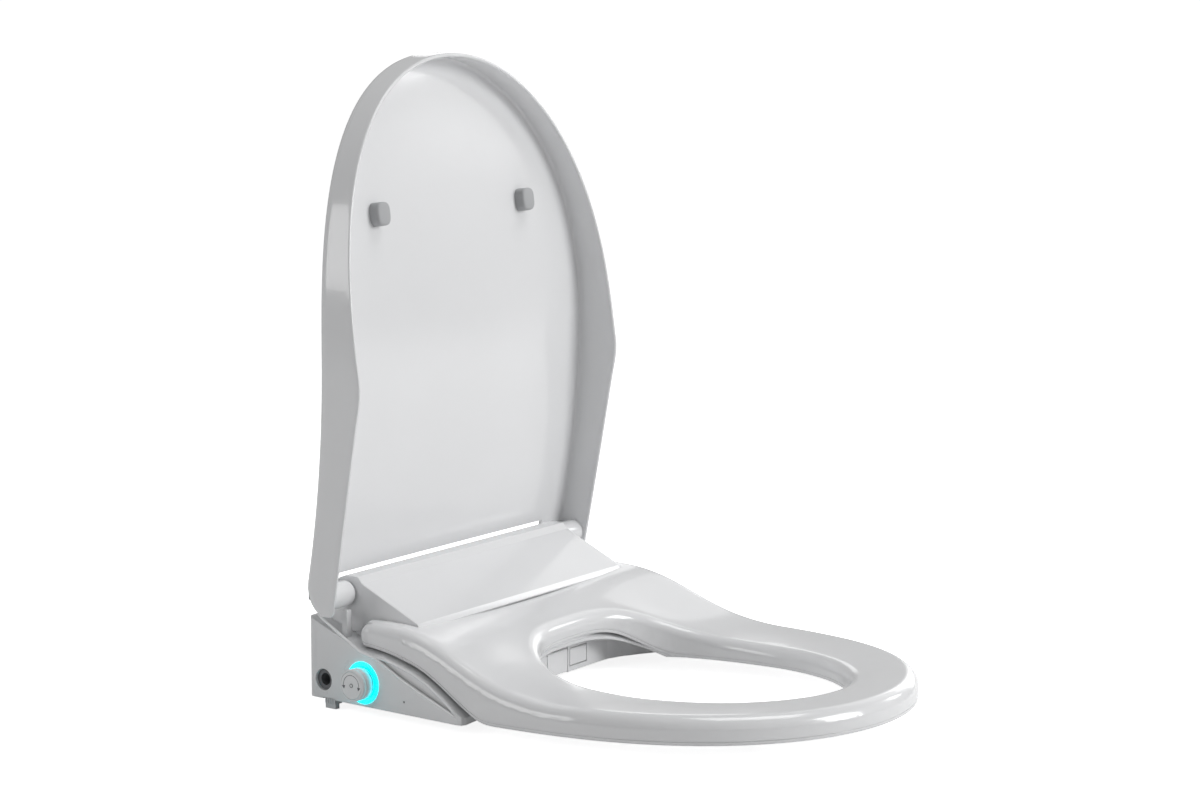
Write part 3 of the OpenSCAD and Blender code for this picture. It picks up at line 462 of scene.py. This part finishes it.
def lid_front(z):
    """Depth of the skirt's front edge: a straight and a curved run, blended at the elbow."""
    above = z - ELBOW_Z
    low = SKIRT_LOW_Y + (ELBOW_Y - SKIRT_LOW_Y) * (z - SKIRT_LOW_Z) / (ELBOW_Z - SKIRT_LOW_Z)
    high = ELBOW_Y + 0.115 * above + 0.00019 * above ** 2
    blend = 1.6
    edge = blend * np.log(np.exp(low / blend) + np.exp(high / blend))
    # The elbow itself stands a little further forward
    return edge - 0.9 * np.exp(-((above / 16) ** 2))


def lid_back(z):
    """Depth of the panel's outer face."""
    k = min(1.0, max(0.0, (HEEL_Z - z) / (HEEL_Z - LID_FOOT_Z + 0.6)))
    curl = 17.5 * (1 - math.sqrt(1 - k ** 2.4)) ** 0.9
    return float(lid_inner(max(z, HEEL_Z))) + LID_WALL - curl


def lid_outline():
    """Right half of the lid seen from the front, foot to tip: x, z and the inward normal."""
    heights = [*np.linspace(LID_FOOT_Z, LID_LEDGE_Z, 14), LID_LEDGE_Z + 0.5, 86.0, 92.0, NOTCH_Z]
    heights = np.array(heights + list(np.arange(105, LID_WIDE_Z, 6.0)))
    below = (LID_WIDE_Z - heights) / (LID_WIDE_Z - LID_BASE_Z)
    side = np.column_stack((LID_HALF - (LID_HALF - LID_BASE_HALF) * below ** 1.8, heights))
    rise = LID_TIP_Z - LID_WIDE_Z
    tip = quarter(LID_HALF, rise, SIDE_POWER, LID_TIP_POWER, 70) + (0, LID_WIDE_Z)
    p = np.vstack((side, tip))
    d = np.gradient(p, axis=0)
    d[-1] = (-1, 0)
    n = np.column_stack((-d[:, 1], d[:, 0]))
    n /= np.linalg.norm(n, axis=1)[:, None]
    return p, n


def lid_section(z):
    """Wall of the skirt at a height, as (inward offset, depth) points.

    They run from the panel's inner edge, over the skirt's rim, to the panel's back edge.
    """
    wall, rim_radius = LID_WALL, 1.4
    toe = min(1.0, max(0.0, (TOE_Z - z) / 4.2))
    front = float(lid_front(z)) + 3.6 * (1 - math.sqrt(1 - toe ** 2))
    back = lid_back(z)
    bend_out = min(8.0, 0.42 * (back - front))
    bend_in = 0.3 * bend_out
    face = back - min(wall, 0.3 * (back - front))
    rim_y = front + rim_radius
    inner = arc((wall + bend_in, face - bend_in), bend_in, 90, 180, 6)
    outer = arc((bend_out, back - bend_out), bend_out, 180, 90, 8)
    rim = [(wall / 2 + wall / 2 * math.cos(t), rim_y - rim_radius * math.sin(t))
           for t in np.linspace(0, math.pi, 9)]
    inside = [(wall, y) for y in np.linspace(inner[-1][1], rim_y, 8)[1:-1]]
    outside = [(0.0, y) for y in np.linspace(rim_y, outer[0][1], 8)[1:-1]]
    return np.vstack((inner, inside, rim, outside, outer))


def panel_face(edge, crown):
    """Rows of points from the middle of the panel to its edge, bowed back by the crown."""
    rows = []
    for x1, y1, z1 in edge:
        xs = x1 * np.linspace(0, 1, PANEL_COLS)
        if z1 < NOTCH_Z + 9:
            middle = np.linspace(0, NOTCH_X, NOTCH_COL + 1)
            xs = np.concatenate((middle, np.linspace(NOTCH_X, x1, PANEL_COLS - NOTCH_COL)[1:]))
        bow = crown * (1 - (xs / max(x1, 1e-6)) ** 2)
        rows.append(np.column_stack((xs, y1 + bow, np.full(PANEL_COLS, z1))))
    return np.array(rows)


def make_lid():
    p, n = lid_outline()
    feet = p[:, 1] <= LID_LEDGE_Z + 0.01
    n[feet] = n[feet] * (1, 0)
    skirt = []
    for (x, z), (nx, nz) in zip(p, n):
        offset, depth = lid_section(z).T
        skirt.append(np.column_stack((np.maximum(x + offset * nx, 0.0), depth, z + offset * nz)))
    skirt = np.array(skirt)
    mirrored = skirt * (-1, 1, 1)
    s = Shape()
    s.grid(skirt)
    s.grid(mirrored)
    # The feet below the panel close on themselves
    first = int(np.argmin(feet))
    for side in (skirt, mirrored):
        s.grid(np.stack((side[: first + 1, 0], side[: first + 1, -1]), axis=1))
        s.fan(side[0])
    # The panel starts above the notch in the middle, and at the feet beside it
    inner = panel_face(skirt[first:, 0], 1.1)
    outer = panel_face(skirt[first:, -1], 0.0)
    top = int(np.argmax(p[first:, 1] > NOTCH_Z - 0.01))
    for face in (inner, outer):
        for sgn in (1, -1):
            half = face * (sgn, 1, 1)
            s.grid(half[top:])
            s.grid(half[: top + 1, NOTCH_COL:])
    for sgn in (1, -1):
        a, b = inner * (sgn, 1, 1), outer * (sgn, 1, 1)
        s.grid(np.stack((a[top, : NOTCH_COL + 1], b[top, : NOTCH_COL + 1])))
        s.grid(np.stack((a[: top + 1, NOTCH_COL], b[: top + 1, NOTCH_COL])))
        s.grid(np.stack((a[0, NOTCH_COL:], b[0, NOTCH_COL:])))
    s.build("lid_skin", "lid", "gloss", ["lid_shell"], sharp=50)
    for sgn, tag in BOTH_SIDES:
        make_lid_barrel(sgn, tag)


def make_lid_barrel(sgn, tag):
    """A hinge barrel inside the lid's side, with the web that holds it to the panel."""
    profile = [(0, 0), (10.5, 0), (10.5, 27.5), *arc((9, 29), 1.5, 0, 90, 5), (5.2, 30.5)]
    web = rounded([(14, 77.5), (27.5, 83), (27.5, 93), (14, 94.5)], [0, 0.5, 0.5, 0], 2)
    web_in, web_out = [[(sgn * x, y, z) for y, z in web] for x in (153.2, 183.5)]
    s = Shape()
    s.grid(lathe(profile, (sgn * 183.2, *LID_AXIS), (-sgn, 0, 0)), close_cols=True)
    s.grid([web_in, web_out], close_cols=True)
    s.fan(web_in)
    s.build("lid_barrel_" + tag, "lid", "gloss", sharp=35)


BUMPER_X, BUMPER_Z = 104, 385.0


def make_lid_bumpers():
    """Squarish soft pads on the panel's inner face."""
    y0 = lid_inner(BUMPER_Z) + 0.9
    lean = math.radians(-7.0)
    # Half width, half height and distance from the panel
    sizes = [(8.6, 9.6, 0.0), (8.6, 9.6, -6.6), (8.3, 9.3, -8.0), (7.6, 8.6, -8.8),
             (6.4, 7.4, -9.1), (0.01, 0.01, -9.2)]
    for sgn, tag in BOTH_SIDES:
        rings = []
        for a, b, h in sizes:
            ring = []
            for k in range(48):
                t = 2 * math.pi * k / 48
                c, s = math.cos(t), math.sin(t)
                x = a * math.copysign(abs(c) ** 0.62, c)
                z = b * math.copysign(abs(s) ** 0.62, s)
                y = y0 + h * math.cos(lean) - 0.9 * z * math.tan(lean)
                ring.append((sgn * BUMPER_X + x, y, BUMPER_Z + z + h * math.sin(lean)))
            rings.append(ring)
        pad = Shape()
        pad.grid(rings, close_cols=True)
        replaced = ["lid_bumpers"] if sgn < 0 else ()
        pad.build("lid_bumper_" + tag, "lid", "pad", replaced, sharp=60)


# ---- Top cover ----

COVER_HALF, COVER_EDGE = 150.9, 0.9


def make_cover():
    """The cover's side profile drawn across the seat, with a small round at both ends."""
    outline = [(-54.0, 46.0), (-54.0, 60.9), (-57.0, 60.9), (-57.7, 62.0), (-55.3, 66.25),
               (-1.0, 93.0), (3.4, 98.2), (15.0, 98.6), (21.5, 96.2), (27.0, 91.0), (31.0, 83.0),
               (41.6, 60.0), (41.6, 46.0)]
    radii = [0.3, 0.3, 0.4, 0.6, 0.6, 1.6, 1.8, 3, 4, 5, 6, 4, 0.3]
    middle = np.array((-5.0, 66.0))
    full = rounded(outline, radii, 7)
    d = np.roll(full, -1, axis=0) - np.roll(full, 1, axis=0)
    n = np.column_stack((-d[:, 1], d[:, 0]))
    n /= np.maximum(np.linalg.norm(n, axis=1)[:, None], 1e-9)
    if np.mean(np.sum(n * (middle - full), axis=1)) < 0:
        n = -n
    # Places across the seat, with the inset of the profile at each
    end = [(COVER_HALF - COVER_EDGE + COVER_EDGE * math.sin(t), COVER_EDGE * (1 - math.cos(t)))
           for t in np.linspace(0, math.pi / 2, 5)]
    stations = [(-x, inset) for x, inset in reversed(end)]
    stations += [(x, 0.0) for x in np.linspace(-145, 145, 30)]
    stations += end
    loops = [[(x, *q) for q in full + n * inset] for x, inset in stations]
    s = Shape()
    s.grid(loops, close_cols=True)
    s.fan(loops[0])
    s.fan(loops[-1])
    s.build("cover_skin", "base", "gloss", ["top_cover"], sharp=34)


# ---- Seat ----

# Height by depth: the top's highest line, the underside, the rim of the opening, and the lowest
# line of the wall inside the opening
CREST = np.array([(-401, 23), (-330, 23.8), (-250, 23.6), (-198, 24.2), (-182, 25.6), (-167, 28.0),
                  (-150, 32.0), (-130, 39.2), (-118, 44.6), (-106, 50.0), (-90, 56.6), (-74, 61.6),
                  (-57, 64.8), (-40, 66.2), (-17, 66.8)])
UNDER = np.array([(-401, 2), (-138, 2), (-131, 5.5), (-119, 12), (-105, 21), (-90, 30), (-75, 37),
                  (-57, 41.4), (-38, 45), (-17, 46.3)])
RIM = np.array([(-352, 22.6), (-300, 21.4), (-225, 21.0), (-185, 23.2), (-160, 27.5),
                (-140, 33.5), (-122, 42.0), (-110, 48.0), (-103, 50.5)])
HEM = np.array([(-352, 4.6), (-150, 4.6), (-138, 7.0), (-125, 14.4), (-110, 27.6), (-103, 35.0)])

# Half width at the widest line, the depths of that line and of the tip, and the rear edge's depth
# between the shoulders
SEAT_HALF, SEAT_WIDE_Y, SEAT_TIP_Y, BACK_Y = 184.0, -172.0, -401.0, -56.8
# The half width shrinks by this much up to this depth
SEAT_TAPER, SEAT_REAR_Y = 21, -5
# The opening: half width, and the depths of its middle, rear and front
HOLE_HALF, HOLE_MID, HOLE_REAR, HOLE_FRONT = 104.0, -225.0, -103.0, -350.0
SEAT_AXIS = (-17.0, 57.0)
# Radii of the rounded outer edge and of the edge of the opening
EDGE_OUT, EDGE_IN = 11.0, 9.0
# The shoulders' inner end, the middle of their height and the length of their rounded rear
SHOULDER_X, SHOULDER_Z, SHOULDER_TAIL = 152.0, 55.8, 8.5
# Parting groove near the foot of every wall: inward offset and fall from where it starts
GROOVE = ((0.7, 0.0), (0.7, -0.7), (0.25, -0.75), (0.25, -2.6), (0.9, -3.4))
GROOVE_RISE = 3.4


def soft_curve(table, y):
    """Smooth value of a profile: linear samples averaged over a short window."""
    y = np.asarray(y, float)
    total = 0.0
    for k in np.linspace(-1, 1, 9):
        total = total + np.interp(y + 9.0 * k, table[:, 0], table[:, 1]) / 9
    return total


def seat_side(y):
    """Half width of the seat at depth y."""
    y = np.asarray(y, float)
    rear = SEAT_HALF - SEAT_TAPER * np.clip((y - SEAT_WIDE_Y) / (SEAT_REAR_Y - SEAT_WIDE_Y), 0, 1) ** 1.9
    t = np.clip((SEAT_WIDE_Y - y) / (SEAT_WIDE_Y - SEAT_TIP_Y), 0, 1)
    front = SEAT_HALF * (1 - t ** SEAT_TIP_POWER) ** (1 / SIDE_POWER)
    return np.where(y > SEAT_WIDE_Y, rear, front)


def seat_front(count):
    """Right half of the seat's front, from the widest line to the tip."""
    rise = SEAT_TIP_Y - SEAT_WIDE_Y
    return quarter(SEAT_HALF, rise, SIDE_POWER, SEAT_TIP_POWER, count) + (0, SEAT_WIDE_Y)


def hole_point(a):
    """Edge of the opening towards angle a about its middle, 0 at the rear, pi at the front."""
    c, s = math.cos(a), math.sin(a)
    if c >= 0:
        length, power = HOLE_REAR - HOLE_MID, 3.0
    else:
        length, power = HOLE_MID - HOLE_FRONT, 2.0
    r = ((abs(s) / HOLE_HALF) ** power + (abs(c) / length) ** power) ** (-1 / power)
    return np.array((r * s, HOLE_MID + r * c))


def outer_path():
    """Right half of the seat's outer edge, from the middle of the rear edge to the front tip."""
    corner = float(seat_side(BACK_Y))
    across = [*np.linspace(0, 148, 38), *np.linspace(SHOULDER_X, corner, 16)]
    side_y = np.linspace(BACK_Y, SEAT_WIDE_Y, 36)[1:]
    rear = [(x, BACK_Y) for x in across]
    side = np.column_stack((seat_side(side_y), side_y))
    return np.vstack((rear, side, seat_front(80)[1:]))


def side_path():
    """Dense points of the seat's side and front, without the rear edge."""
    y = np.linspace(20, SEAT_WIDE_Y, 200)
    return np.vstack((np.column_stack((seat_side(y), y)), seat_front(420)))


def edge_reach(outer):
    """Even angles about the opening's middle and the softened distance of the edge at each."""
    angle = np.arctan2(outer[:, 0], outer[:, 1] - HOLE_MID)
    far = np.hypot(outer[:, 0], outer[:, 1] - HOLE_MID)
    order = np.argsort(angle)
    even = np.linspace(0, math.pi, 361)
    reach = np.interp(even, angle[order], far[order])
    window = np.exp(-0.5 * (np.arange(-48, 49) / 16.0) ** 2)
    padded = np.pad(reach, 48, mode="reflect")
    return even, np.convolve(padded, window / window.sum(), "valid")


# Matching points of the outer edge and of the opening's edge
OUTER = outer_path()
HOLE = np.array([hole_point(math.atan2(x, y - HOLE_MID)) for x, y in OUTER])
SIDE_PATH = side_path()
REACH = edge_reach(OUTER)


def side_distance(x, y):
    """Distance inwards from the seat's side and front edge."""
    dx = SIDE_PATH[None, :, 0] - np.abs(x)[:, None]
    dy = SIDE_PATH[None, :, 1] - y[:, None]
    return np.hypot(dx, dy).min(axis=1)


def seat_height(x, y):
    """Top of the seat before its edges are rounded."""
    x, y = np.abs(np.asarray(x, float)), np.asarray(y, float)
    # The rear sinks a little between the shoulders
    dip = 4.5 * smooth((y + 112) / 50) * np.clip(1 - (x / 162) ** 2, 0, 1)
    high = soft_curve(CREST, y) - dip
    out = np.zeros_like(x)
    for i in range(len(x)):
        a = math.atan2(x[i], y[i] - HOLE_MID)
        hole = hole_point(a)
        near = math.hypot(hole[0], hole[1] - HOLE_MID)
        here = math.hypot(x[i], y[i] - HOLE_MID)
        far = float(np.interp(a, *REACH))
        t = min(1.0, max(0.0, (here - near) / max(far - near, 1.0)))
        rim = float(soft_curve(RIM, hole[1]))
        out[i] = rim + (high[i] - rim) * (1 - (1 - t) ** 2.1)
    return out


def seat_top():
    """Right half of the top, in rows from the outer edge to the opening, dense at both edges."""
    bend = 1 - np.cos(np.linspace(0, math.pi / 2, 10))
    rows = []
    for start, end in zip(OUTER, HOLE):
        span = np.linalg.norm(start - end)
        middle = np.linspace(EDGE_OUT * bend[-1], span - EDGE_IN * bend[-1], 22)[1:-1]
        dist = np.concatenate((EDGE_OUT * bend, middle, span - EDGE_IN * bend[::-1]))
        rows.append(start + dist[:, None] * ((end - start) / span))
    rows = np.array(rows)
    x, y = rows[..., 0].ravel(), rows[..., 1].ravel()
    z = seat_height(x, y)
    z -= edge_drop(side_distance(x, y), EDGE_OUT)
    z -= edge_drop(np.linalg.norm(rows - HOLE[:, None], axis=2).ravel(), EDGE_IN)
    return np.dstack((rows, z.reshape(rows.shape[:2])))


def seat_wall(line, inwards, table, lip):
    """A wall from an edge line to a lower line, with a parting groove and a turned-in lip."""
    high, low = line[:, 2], soft_curve(table, line[:, 1]) + GROOVE_RISE
    out = [line]
    for t in np.linspace(0, 1, 5)[1:]:
        q = line.copy()
        q[:, 2] = high + (low - high) * t
        out.append(q)
    for offset, fall in (*GROOVE, (lip, -GROOVE_RISE), (lip, 0.0)):
        q = line.copy()
        q[:, :2] += inwards * offset
        q[:, 2] = low + fall
        out.append(q)
    return np.array(out)


def seat_shoulder(sgn):
    """Sections of a shoulder, from the ring's rear edge back over the hinge to a closed end."""
    axis_y = SEAT_AXIS[0]
    bend = np.sin(np.linspace(0, math.pi / 2, 10)[1:])
    tail = axis_y + SHOULDER_TAIL * np.sin(np.linspace(0, math.pi / 2, 16)[1:])
    loops = []
    for y in (*np.linspace(BACK_Y, axis_y, 20), *tail):
        k = max(0.0, (y - axis_y) / SHOULDER_TAIL)
        at = min(y, axis_y)
        w = float(seat_side(at)) - 3.0 * k ** 3
        shut = max(0.0, 1 - k ** 2.4) ** (1 / 2.4)
        xs = [SHOULDER_X, *np.linspace(SHOULDER_X + 1, w - EDGE_OUT, 4), *(w - EDGE_OUT * (1 - bend))]
        xs = np.maximum(xs, SHOULDER_X)
        zs = seat_height(xs, np.full(len(xs), at)) - edge_drop(w - xs, EDGE_OUT)
        low = float(soft_curve(UNDER, at)) + GROOVE_RISE
        line = list(zip(xs, zs))
        line += [(w, zs[-1] + (low - zs[-1]) * t) for t in (0.33, 0.66, 1)]
        line += [(w - offset, low + fall) for offset, fall in (*GROOVE, (3.0, -GROOVE_RISE))]
        line.append((SHOULDER_X, low - GROOVE_RISE))
        loops.append([(sgn * x, y, SHOULDER_Z + (z - SHOULDER_Z) * shut) for x, z in line])
    return loops


def make_seat():
    top = seat_top()
    outer_wall = seat_wall(top[:, 0], inward(OUTER, HOLE), UNDER, 3.0)
    hole_wall = seat_wall(top[:, -1], inward(HOLE, OUTER), HEM, 5.5)
    s = Shape()
    for sgn in (1, -1):
        for part in (top, outer_wall, hole_wall):
            s.grid(part * (sgn, 1, 1))
    for sgn in (1, -1):
        loops = seat_shoulder(sgn)
        s.grid(loops, close_cols=True)
        s.fan(loops[-1])
    s.build("seat_skin", "seat", "gloss", ["seat_shell"], sharp=50)
    for sgn, tag in BOTH_SIDES:
        place = (sgn * 151.9, *SEAT_AXIS)
        boss = Shape()
        boss.grid(lathe([(4.6, 0), (8, 0), (8, 10)], place, (sgn, 0, 0)), close_cols=True)
        boss.build("seat_boss_" + tag, "seat", "gloss")


# ---- Knob and lights ----

# The knob side's cheek turns in to the back by this angle
CHEEK = math.atan(20.5 / 166)
OUTWARD = (-math.cos(CHEEK), math.sin(CHEEK), 0)
KNOB_HEIGHT = 13.5
# Face of the knob's cap, and top of the mark that stands on it
CAP_FACE = KNOB_HEIGHT - 0.4
MARK_TOP = CAP_FACE + 0.32


def on_cheek(out, along, up):
    """The place of a point given in the cheek's own frame: out from it, forward and up."""
    c, s = math.cos(CHEEK), math.sin(CHEEK)
    return (-167.5 - out * c - along * s, 42 + out * s - along * c, up)


KNOB_PLACE = on_cheek(0, 61.5, 19.0)


def turned_piece(profile, name, body, material, replaced):
    """A piece turned round the knob's axis from (radius, height) points."""
    s = Shape()
    s.grid(lathe(profile, KNOB_PLACE, OUTWARD, 96), close_cols=True)
    s.build(name, body, material, [replaced], sharp=40)


def on_knob(r, degrees, h):
    """A point at a radius, an angle from the front and a height on the knob's axis."""
    axis, up = Vector(OUTWARD), Vector((0, 0, 1))
    a = math.radians(degrees)
    spoke = axis.cross(up) * math.cos(a) + up * math.sin(a)
    return tuple(Vector(KNOB_PLACE) + axis * h + spoke * r)


def make_knob():
    tall, face = KNOB_HEIGHT, CAP_FACE
    grip = [(10.8, 2.2), (12.7, 2.2), (13.0, 2.6), (13.0, tall - 4.8), (12.9, tall - 4.6),
            (12.7, tall - 4.5), (12.7, tall - 4.0), (12.9, tall - 3.9), (13.0, tall - 3.7),
            *arc((11.6, tall - 1.6), 1.4, 0, 90, 7),
            (11.4, tall - 0.2), (11.2, tall - 0.5), (11.2, tall - 0.8)]
    turned_piece(grip, "knob_skin", "knob", "satin", "knob_grip")
    cap = [(11.0, face - 0.5), (11.0, face), *arc((10.7, face), 0.3, 0, 90, 3),
           (6, face + 0.15), (2.2, face + 0.12), (1.9, face), (1.5, face), (1.2, face + 0.15),
           (0.01, face + 0.18)]
    turned_piece(cap, "knob_face", "knob", "satin", "knob_cap")
    make_knob_mark()
    ring = [(12.4, -1.5), (16.9, -1.5), (16.9, 0.2), *arc((16.3, 0.2), 0.6, 0, 90, 4),
            (12.9, 0.8), (12.4, 0.3), (12.4, -1.5)]
    turned_piece(ring, "light_ring_glow", "base", "cyan", "light_ring")


def make_knob_mark():
    """The turning mark: an arc with an arrowhead at each end, and a dot in the middle."""
    low, high = -4, 184
    degrees = np.linspace(low, high, 60)
    band = ((8.15, CAP_FACE), (8.15, MARK_TOP), (8.55, MARK_TOP), (8.55, CAP_FACE))
    s = Shape()
    s.grid([[on_knob(r, d, h) for d in degrees] for r, h in band])
    for d, turn in ((low, -1), (high, 1)):
        head = [(6.6, d), (10.1, d), (8.35, d + turn * 19)]
        s.fan([on_knob(r, a, MARK_TOP) for r, a in head])
        for start, end in zip(head, head[1:] + head[:1]):
            s.fan([on_knob(*start, MARK_TOP), on_knob(*end, MARK_TOP),
                   on_knob(*end, CAP_FACE), on_knob(*start, CAP_FACE)])
    dot = [(1.15, CAP_FACE), (1.15, CAP_FACE + 0.3), (1.65, CAP_FACE + 0.3), (1.65, CAP_FACE)]
    s.grid(lathe(dot, KNOB_PLACE, OUTWARD, 32), close_cols=True)
    s.build("knob_mark", "knob", "mark")


# ---- Beads on the cheeks ----

BEAD_RADIUS = 1.3
# (Forward, height) points of each line on a cheek's face
BEAD_LINES = {
    "cheek_bead_": [(11, 68.9), (20, 64.0), (36, 55.5), (50, 48.1), (59, 43.6), (68, 42.0),
                    (78, 39.8), (104, 27.4), (130, 17.4), (152, 9.3), (161, 5.6)],
    "cheek_brow_": [(72, 42.2), (86, 41.0), (97, 38.6), (116, 33.8), (131, 27.2), (146, 18.6),
                    (158, 10.4), (162, 6.6)],
}


def bead(path, radius):
    """A half sunk round bead along a line, thinner at both ends, in the cheek's own frame."""
    p = np.array(path, float)
    p = np.vstack([p[:1]] + [np.linspace(a, b, 7)[1:] for a, b in zip(p, p[1:])])
    p[1:-1] = (p[:-2] + 2 * p[1:-1] + p[2:]) / 4
    d = np.gradient(p, axis=0)
    d /= np.linalg.norm(d, axis=1)[:, None]
    rows = []
    for i, (q, u) in enumerate(zip(p, d)):
        size = radius * min(1.0, 0.25 + 0.25 * min(i, len(p) - 1 - i))
        across = np.array((-u[1], u[0])) * size
        rows.append([(size * 0.8 * math.cos(t), *(q + across * math.sin(t)))
                     for t in np.linspace(-math.pi / 2, math.pi / 2, 9)])
    return rows


def make_cheek_beads():
    # on_cheek gives places on the knob's side, and the other side mirrors them
    for sgn, tag in ((1, "left"), (-1, "right")):
        for name, line in BEAD_LINES.items():
            rows = []
            for row in bead(line, BEAD_RADIUS):
                places = [on_cheek(*q) for q in row]
                rows.append([(sgn * x, y, z) for x, y, z in places])
            s = Shape()
            s.grid(rows)
            s.build(name + tag, "base", "gloss", sharp=60)


make_camera()
make_studio()
make_materials()
dress_cad_nodes()
make_lid()
make_lid_bumpers()
make_cover()
make_seat()
make_knob()
make_cheek_beads()
